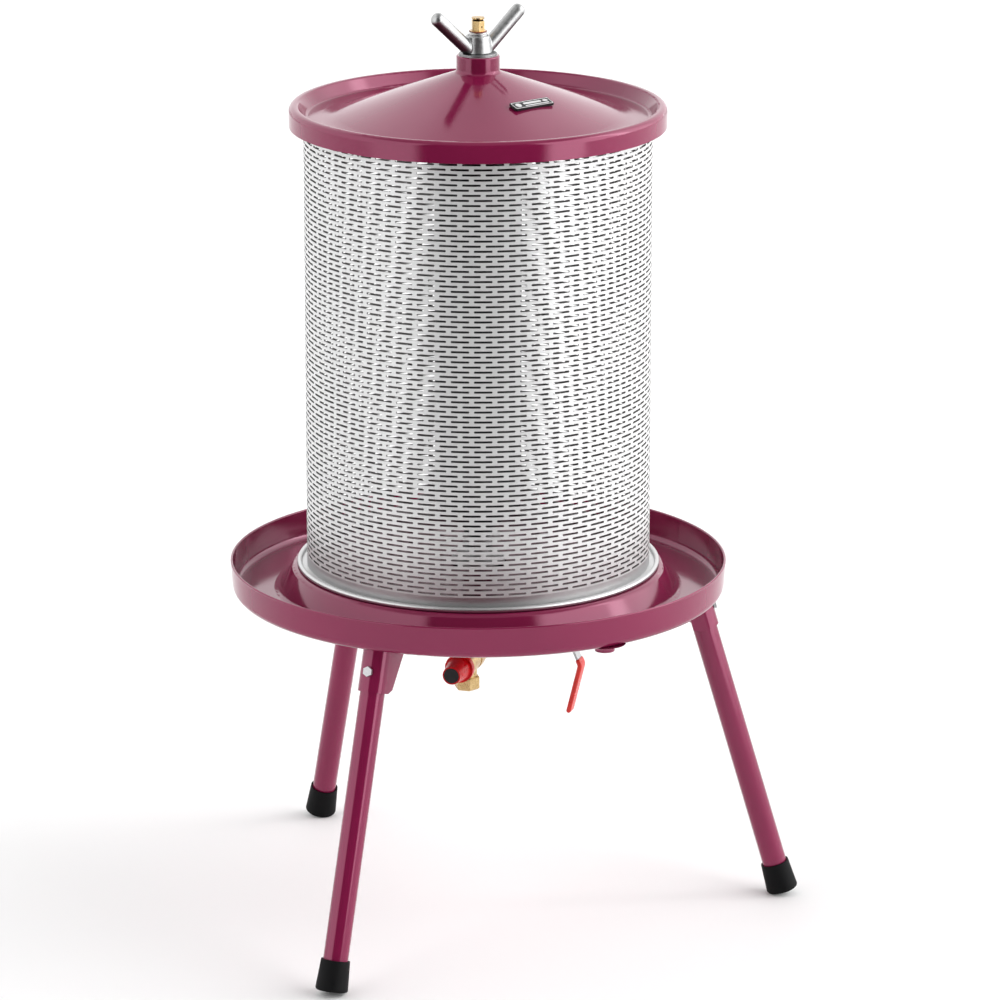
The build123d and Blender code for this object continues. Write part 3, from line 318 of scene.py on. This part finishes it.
def slotted_wall():
    """The basket's wall with its slots cut through, closed beside the weld."""
    grid, faces, loops = [], [], []

    def put(spots):
        start = len(grid)
        grid.extend(spots)
        return list(range(start, len(grid)))

    rows = []
    for row in range(ROWS):
        height = FIRST_ROW_Z + ROW_PITCH * row
        rows.append([])
        for number in range(SLOTS):
            centre = math.radians(SLOT_TURN) + (number + row % 2 / 2) * math.tau / SLOTS
            ring = put(slot_loop(centre, height))
            rows[-1].append(ring)
            away = (math.degrees(centre) - SEAM_AZIMUTH + 180) % 360 - 180
            if abs(away) < 360 / SLOTS * CLOSED_SHARE:
                faces.append(ring)
            else:
                loops.append(ring)
        for one, other in zip(rows[-1], rows[-1][1:] + rows[-1][:1]):
            faces.append([one[2], other[0], other[9], one[3]])
            faces.append([one[3], other[9], other[8], one[4]])
            faces.append([one[4], other[8], other[7], one[5]])

    def edge(row, corners):
        return [ring[c] for ring in rows[row] for c in corners]

    def zip_up(lower, upper):
        """Triangles between two rings of points that go round in step."""
        turn = math.tau
        low_angle = [grid[i][0] for i in lower] + [grid[lower[0]][0] + turn]
        high_angle = [grid[i][0] for i in upper] + [grid[upper[0]][0] + turn]
        a = b = 0
        while a < len(lower) or b < len(upper):
            this, that = lower[a % len(lower)], upper[b % len(upper)]
            if b >= len(upper) or (a < len(lower) and low_angle[a + 1] <= high_angle[b + 1]):
                faces.append([this, lower[(a + 1) % len(lower)], that])
                a += 1
            else:
                faces.append([this, upper[(b + 1) % len(upper)], that])
                b += 1

    for row in range(ROWS - 1):
        zip_up(edge(row, (7, 6, 5)), edge(row + 1, (0, 1, 2)))
    foot = edge(0, (0, 1, 2))
    head = edge(ROWS - 1, (7, 6, 5))
    foot_rim = put([(grid[i][0], wall_low.z) for i in foot])
    head_rim = put([(grid[i][0], wall_high.z) for i in head])
    for ring, rim, flip in ((foot, foot_rim, False), (head, head_rim, True)):
        for k in range(len(ring)):
            n = (k + 1) % len(ring)
            quad = [rim[k], rim[n], ring[n], ring[k]]
            faces.append(quad[::-1] if flip else quad)

    count = len(grid)
    points, normals = [], []
    for radius in (WALL_R, WALL_IN_R):
        for angle, height in grid:
            points.append((radius * math.cos(angle), radius * math.sin(angle), height))
    sides = list(faces) + [[i + count for i in face[::-1]] for face in faces]
    skin = len(sides)
    for ring in loops:
        for k in range(len(ring)):
            n = (k + 1) % len(ring)
            sides.append([ring[n], ring[k], ring[k] + count, ring[n] + count])
    for rim, flip in ((foot_rim, False), (head_rim, True)):
        for k in range(len(rim)):
            n = (k + 1) % len(rim)
            quad = [rim[n], rim[k], rim[k] + count, rim[n] + count]
            sides.append(quad[::-1] if flip else quad)
    name, node = "basket_slotted_wall", "basket_wall"
    made = piece(name, points, sides, node, node, look=SHEET_LOOK, smooth=0)
    mesh = made.data
    # the slot walls, rims and inside of the wall take the darker copy of the sheet: painted shade
    mesh.materials.append(SHADED_INSIDE_LOOK.material)
    mesh.shade_smooth()
    mesh.set_sharp_from_angle(angle=math.radians(CREASE))
    for polygon in mesh.polygons:
        polygon.material_index = 0 if polygon.index < len(faces) else 1
        for vertex in polygon.vertices:
            if polygon.index < skin:
                x, y, z = points[vertex]
                sign = 1 if vertex < count else -1
                normals.append((sign * x / math.hypot(x, y), sign * y / math.hypot(x, y), 0))
            else:
                normals.append(tuple(polygon.normal))
    mesh.normals_split_custom_set(normals)
    return made


slotted_wall()

# ---- weld seam up the back of the basket -------------------------------------------------

SEAM_STEPS = 560
SEAM_ACROSS = (-1.0, -0.55, 0.0, 0.55, 1.0)
SEAM_FOOT_GAP = 0.014
SEAM_HEAD_GAP = 0.018
SEAM_HALF_WIDTH = 0.0021
SEAM_WIDTH_RIPPLE = 0.0002
SEAM_CROWN = 0.00055
SEAM_CROWN_RIPPLE = 0.00016
SEAM_SINK = 0.00002


def wobble(*phases):
    """A smooth repeatable ripple between -1 and 1."""
    return sum(math.sin(phase) for phase in phases) / len(phases)


def seam_weld():
    """The butt weld up the basket's back, a low rippled bead."""
    out, side = toward(SEAM_AZIMUTH), toward(SEAM_AZIMUTH + 90)
    points, faces = [], []
    low, high = wall_low.z + SEAM_FOOT_GAP, wall_high.z - SEAM_HEAD_GAP
    for step in range(SEAM_STEPS + 1):
        height = low + (high - low) * step / SEAM_STEPS
        width = SEAM_HALF_WIDTH + SEAM_WIDTH_RIPPLE * wobble(step * 0.31, step * 0.117)
        crown = SEAM_CROWN + SEAM_CROWN_RIPPLE * math.sin(step * 1.9)
        for place in SEAM_ACROSS:
            lift = crown * (1 - place * place)
            points.append(out * (WALL_R - SEAM_SINK + lift) + side * width * place + UP * height)
    row = len(SEAM_ACROSS)
    for step in range(SEAM_STEPS):
        for k in range(row - 1):
            a = step * row + k
            faces.append((a, a + 1, a + 1 + row, a + row))
    return piece("basket_seam_weld", points, faces, "basket_wall", look=SHEET_LOOK, smooth=60)


seam_weld()


# ---- threaded end of the centre tube ---------------------------------------------------------

tube_low, tube_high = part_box("centre_tube")
TUBE_R = tube_high.x
THREAD_FOOT_Z = 0.844
THREAD_R = 0.009
THREAD_DEPTH = 0.0011
THREAD_PITCH = 0.0025
BORE_R = 0.0072
TUBE_SIDES = 72
TUBE_CHAMFER = 0.0004
THREAD_RUNOUT = 0.0016
THREAD_STEP = 0.00025
FLANK_SLOPE = 2.6
FLANK_CREST = 0.3
THREAD_LEAD = 0.0012
LEAD_SLOPE = 0.8


def threaded_tube():
    """The tube with its thread cut as a helix at the top, and a plain bore."""
    stops = [(BORE_R, tube_low.z), (TUBE_R - TUBE_CHAMFER, tube_low.z)]
    stops += [(TUBE_R, tube_low.z + TUBE_CHAMFER)]
    stops += [(TUBE_R, THREAD_FOOT_Z - THREAD_RUNOUT), (THREAD_R, THREAD_FOOT_Z)]
    count = round((tube_high.z - TUBE_CHAMFER - THREAD_FOOT_Z) / THREAD_STEP)
    for k in range(1, count + 1):
        stops.append((None, THREAD_FOOT_Z + k * THREAD_STEP))
    stops += [(THREAD_R - THREAD_DEPTH, tube_high.z), (BORE_R, tube_high.z)]
    points, faces = [], []
    for radius, height in stops:
        for k in range(TUBE_SIDES):
            angle = math.tau * k / TUBE_SIDES
            if radius is None:
                phase = ((height - THREAD_FOOT_Z) / THREAD_PITCH - k / TUBE_SIDES) % 1
                flank = max(0.0, abs(phase - 0.5) * FLANK_SLOPE - FLANK_CREST)
                use = THREAD_R - THREAD_DEPTH * min(1.0, flank)
                lead = max(0.0, height - tube_high.z + THREAD_LEAD) * LEAD_SLOPE
                use = min(use, THREAD_R - lead)
            else:
                use = radius
            points.append((use * math.cos(angle), use * math.sin(angle), height))
    rows = len(stops)
    for row in range(rows):
        here, above = row * TUBE_SIDES, (row + 1) % rows * TUBE_SIDES
        for k in range(TUBE_SIDES):
            n = (k + 1) % TUBE_SIDES
            faces.append((here + k, here + n, above + n, above + k))
    return piece("threaded_centre_tube", points, faces, "centre_tube", "centre_tube", smooth=30)


threaded_tube()

# ---- cast wing nut --------------------------------------------------------------------------------

CAST_VOXEL = 0.0005
CAST_ROUNDS = 5
CAST_SOFTENING = 0.5
# how far a face looks down, as the z of its normal, where the painted shade on undersides is whole
# and where it ends
UNDERSIDE_SHADE_WHOLE = -0.62
UNDERSIDE_SHADE_END = -0.12
UNDERSIDE_SHADE_LEVEL = 0.12


def joined_copy(name, nodes):
    """One mesh made of copies of CAD nodes, which stay as they are."""
    points, faces = [], []
    for node in nodes:
        mesh = frame["nodes"][node].data
        start = len(points)
        points += [tuple(vertex.co) for vertex in mesh.vertices]
        faces += [tuple(start + i for i in polygon.vertices) for polygon in mesh.polygons]
    return piece(name, points, faces, nodes[0], *nodes, smooth=0)


def apply_all(made):
    """Bakes the modifiers of a piece into its mesh."""
    view_layer = bpy.context.view_layer
    view_layer.update()
    graph = bpy.context.evaluated_depsgraph_get()
    baked = bpy.data.meshes.new_from_object(made.evaluated_get(graph))
    made.modifiers.clear()
    made.data = baked
    return made


def cast(name, nodes, voxel, rounds, look):
    """CAD nodes melted into one casting, its corners softened by a smooth remesh."""
    made = joined_copy(name, nodes)
    made.data.materials[0] = look.material
    remesh = made.modifiers.new("melt", "REMESH")
    remesh.mode = "VOXEL"
    remesh.voxel_size = voxel
    remesh.use_smooth_shade = True
    soften = made.modifiers.new("soften", "SMOOTH")
    soften.iterations = rounds
    soften.factor = CAST_SOFTENING
    return apply_all(made)


def cast_metal_shaded_below(name, dark, light, roughness):
    """A rough casting whose undersides get painted shade, darker the more they face down."""
    look = metal(name, dark, light, roughness, EVEN, 420.0, 0.35)
    shade = look.shader.inputs["Base Color"].links[0].from_socket
    # painted shade: the base colour is multiplied down on faces that look down
    split = look.add("ShaderNodeSeparateXYZ")
    look.link(look.add("ShaderNodeNewGeometry").outputs["Normal"], split.inputs[0])
    skin = look.add("ShaderNodeMapRange")
    look.link(split.outputs["Z"], skin.inputs["Value"])
    skin.inputs["From Min"].default_value = UNDERSIDE_SHADE_WHOLE
    skin.inputs["From Max"].default_value = UNDERSIDE_SHADE_END
    skin.inputs["To Min"].default_value = UNDERSIDE_SHADE_LEVEL
    skin.inputs["To Max"].default_value = 1.0
    mixed = look.add("ShaderNodeMix", data_type="RGBA", blend_type="MULTIPLY")
    mixed.inputs["Factor"].default_value = 1.0
    look.link(shade, mixed.inputs["A"])
    look.link(skin.outputs["Result"], mixed.inputs["B"])
    look.feed(mixed.outputs["Result"], "Base Color")
    return look


# cast metal for the wing nut, with painted shade on its undersides
CAST_LOOK = cast_metal_shaded_below("cast_zinc", (0.36, 0.365, 0.365), (0.52, 0.525, 0.525), 0.36)
cast("wing_nut_casting", ["wing_nut_hub", "wing_nut_arms"], CAST_VOXEL, CAST_ROUNDS, CAST_LOOK)

# the washer is darker than the other plated steel: painted shade under the wing nut's hub
SHADED_WASHER_LOOK = metal("washer_painted_shade", (0.22, 0.22, 0.225), (0.32, 0.32, 0.325), 0.42, EVEN, 380.0)
frame["nodes"]["nut_washer"].data.materials[0] = SHADED_WASHER_LOOK.material

# ---- badge with a plain border and bars, no lettering -----------------------------------------

FRAME_CORNER = 0.0009
FRAME_MARGIN = 0.0016
FRAME_INNER_MARGIN = 0.0028
BADGE_SINK = 0.0002
BADGE_PROUD = 0.00025


def outline(kind, u, v, wide, tall, count=10):
    """Points round a bar with round ends, or round the frame, in the badge's plane."""
    radius = FRAME_CORNER if kind == "frame" else min(wide, tall) / 2
    reach_u, reach_v = wide / 2 - radius, tall / 2 - radius
    spots = []
    for quarter, (su, sv) in enumerate(((1, 1), (-1, 1), (-1, -1), (1, -1))):
        for k in range(count + 1):
            angle = math.radians(90 * (quarter + k / count))
            across = u + su * reach_u + radius * math.cos(angle)
            spots.append((across, v + sv * reach_v + radius * math.sin(angle)))
    return spots


def badge_relief():
    """A light frame, disc and bars printed proud of the badge, with nothing to read."""
    mesh = frame["nodes"]["badge_plate"].data
    face = max((p for p in mesh.polygons if p.normal.z > 0.7), key=lambda p: p.area)
    normal = face.normal.copy()
    level = [p for p in mesh.polygons if (p.normal - normal).length < 0.02]
    top = [mesh.vertices[i].co for p in level for i in p.vertices]
    side = normal.cross(UP).normalized()
    along = side if side.dot(toward(CAMERA_AZIMUTH + 90)) > 0 else -side
    rise = normal.cross(along).normalized()
    us, vs = [p.dot(along) for p in top], [p.dot(rise) for p in top]
    middle = along * (min(us) + max(us)) / 2 + rise * (min(vs) + max(vs)) / 2
    middle = middle + normal * top[0].dot(normal)
    half_u, half_v = (max(us) - min(us)) / 2, (max(vs) - min(vs)) / 2
    points, faces = [], []

    def put(spots, lift):
        start = len(points)
        points.extend(middle + along * u + rise * v + normal * lift for u, v in spots)
        return list(range(start, len(points)))

    def solid(spots):
        low, high = put(spots, -BADGE_SINK), put(spots, BADGE_PROUD)
        faces.append(high)
        for k in range(len(low)):
            n = (k + 1) % len(low)
            faces.append((low[k], low[n], high[n], high[k]))

    outer = outline("frame", 0, 0, 2 * half_u - FRAME_MARGIN, 2 * half_v - FRAME_MARGIN)
    inside_u, inside_v = 2 * half_u - FRAME_INNER_MARGIN, 2 * half_v - FRAME_INNER_MARGIN
    inner = outline("frame", 0, 0, inside_u, inside_v)
    rings = [put(outer, -BADGE_SINK), put(outer, BADGE_PROUD)]
    rings += [put(inner, BADGE_PROUD), put(inner, -BADGE_SINK)]
    for one, other in zip(rings, rings[1:]):
        for k in range(len(one)):
            n = (k + 1) % len(one)
            faces.append((one[k], one[n], other[n], other[k]))
    for u, v, wide, tall in BADGE_SHAPES:
        solid(outline("bar", u, v, wide, tall))
    return piece("badge_relief", points, faces, "badge_plate", look=PRINT_LOOK, smooth=30)


# across and up the badge, width and height of each raised shape, metres
BADGE_SHAPES = (
    (-0.0165, 0, 0.0066, 0.0066),
    (0.0012, 0.0014, 0.0220, 0.0030),
    (0.0172, 0.0014, 0.0060, 0.0030),
    (0.0048, -0.0025, 0.0290, 0.0014),
)
PRINT_LOOK = rubber("badge_print", (0.62, 0.62, 0.62), (0.78, 0.78, 0.78), 0.4)
badge_relief()

# ---- floor and light ---------------------------------------------------------------------

# the floor ends this far on the camera's side, and reaches this far the other ways
FLOOR_FRONT = 1.55
FLOOR_REACH = 25
FLOOR_DROP = 0.0003
FLOOR_DEEP = (0.95, 0.95, 0.95)
FLOOR_LIGHT = (0.965, 0.965, 0.965)

floor_mesh = bpy.data.meshes.new("floor")
floor_near = [(-FLOOR_FRONT, -FLOOR_REACH, 0), (FLOOR_REACH, -FLOOR_REACH, 0)]
floor_far = [(FLOOR_REACH, FLOOR_REACH, 0), (-FLOOR_FRONT, FLOOR_REACH, 0)]
floor_mesh.from_pydata(floor_near + floor_far, [], [(0, 1, 2, 3)])
floor = bpy.data.objects.new("floor", floor_mesh)
bpy.context.collection.objects.link(floor)
floor.location.z = cad_box[0].z - FLOOR_DROP
floor.rotation_euler.z = math.radians(CAMERA_AZIMUTH + 180)
floor_look = Look("pale_floor", (0.9, 0.9, 0.9), 0.0, 0.7)
seen_from_below = floor_look.add("ShaderNodeNewGeometry").outputs["Backfacing"]
clear = floor_look.add("ShaderNodeBsdfTransparent")
either = floor_look.add("ShaderNodeMixShader")
floor_look.link(seen_from_below, either.inputs["Fac"])
floor_look.link(floor_look.shader.outputs[0], either.inputs[1])
floor_look.link(clear.outputs[0], either.inputs[2])
floor_look.link(either.outputs[0], floor_look.tree.nodes["Material Output"].inputs["Surface"])
mottle = floor_look.noise(floor_look.stretch(EVEN), 1.5)
floor_tone = floor_look.ramp(mottle, (NOISE_LOW, FLOOR_DEEP), (NOISE_HIGH, FLOOR_LIGHT))
floor_look.feed(floor_tone, "Base Color")
floor_mesh.materials.append(floor_look.material)


def studio_world():
    """A white studio with broad lights to the left and right, and a dark end behind the camera."""
    world = bpy.data.worlds.new("studio")
    bpy.context.scene.world = world
    world.use_nodes = True
    nodes, links = world.node_tree.nodes, world.node_tree.links
    around = nodes["Background"]
    direction = nodes.new("ShaderNodeTexCoord").outputs["Generated"]

    def along(axis):
        dot = nodes.new("ShaderNodeVectorMath")
        dot.operation = "DOT_PRODUCT"
        links.new(direction, dot.inputs[0])
        dot.inputs[1].default_value = axis
        return dot.outputs["Value"]

    turn = nodes.new("ShaderNodeMath")
    turn.operation = "ARCTAN2"
    links.new(along(toward(CAMERA_AZIMUTH + 90)), turn.inputs[0])
    links.new(along(toward(CAMERA_AZIMUTH)), turn.inputs[1])
    share = nodes.new("ShaderNodeMath")
    share.operation = "MULTIPLY_ADD"
    share.inputs[1].default_value = 1 / math.tau
    share.inputs[2].default_value = 0.5
    links.new(turn.outputs[0], share.inputs[0])
    bright = nodes.new("ShaderNodeValToRGB")
    links.new(share.outputs[0], bright.inputs["Fac"])
    for number, (azimuth, level) in enumerate(STUDIO):
        stops = bright.color_ramp.elements
        element = stops[number] if number < 2 else stops.new(0.5 + azimuth / 360)
        element.position = 0.5 + azimuth / 360
        element.color = (level / STUDIO_PEAK,) * 3 + (1,)
    overhead = nodes.new("ShaderNodeMapRange")
    links.new(along(UP), overhead.inputs["Value"])
    overhead.inputs["From Min"].default_value = OVERHEAD_BEGINS
    overhead.inputs["From Max"].default_value = OVERHEAD_WHOLE
    blend = nodes.new("ShaderNodeMix")
    blend.data_type = "RGBA"
    links.new(overhead.outputs["Result"], blend.inputs["Factor"])
    links.new(bright.outputs["Color"], blend.inputs["A"])
    blend.inputs["B"].default_value = (OVERHEAD / STUDIO_PEAK,) * 3 + (1,)
    links.new(blend.outputs["Result"], around.inputs["Color"])
    around.inputs["Strength"].default_value = STUDIO_PEAK
    backdrop = nodes.new("ShaderNodeBackground")
    backdrop.inputs["Color"].default_value = (1, 1, 1, 1)
    choose = nodes.new("ShaderNodeMixShader")
    links.new(nodes.new("ShaderNodeLightPath").outputs["Is Camera Ray"], choose.inputs["Fac"])
    links.new(around.outputs[0], choose.inputs[1])
    links.new(backdrop.outputs[0], choose.inputs[2])
    links.new(choose.outputs[0], nodes["World Output"].inputs["Surface"])


STUDIO_PEAK = 6.0
OVERHEAD = 0.50
# how high the overhead light begins and is whole, as the z of the direction
OVERHEAD_BEGINS = 0.70
OVERHEAD_WHOLE = 0.86
# azimuth from the camera's side in degrees, to the right positive, and brightness
STUDIO = (
    (-180, 1.45),
    (180, 1.45),
    (-146, 1.35),
    (-116, 1.45),
    (-60, 1.85),
    (-40, 1.85),
    (-34, 0.06),
    (39, 0.06),
    (46, 3.2),
    (90, 3.3),
    (94, 5.6),
    (101, 5.6),
    (106, 3.0),
    (120, 2.6),
    (136, 1.5),
)
studio_world()
bpy.context.scene.view_settings.view_transform = "Standard"
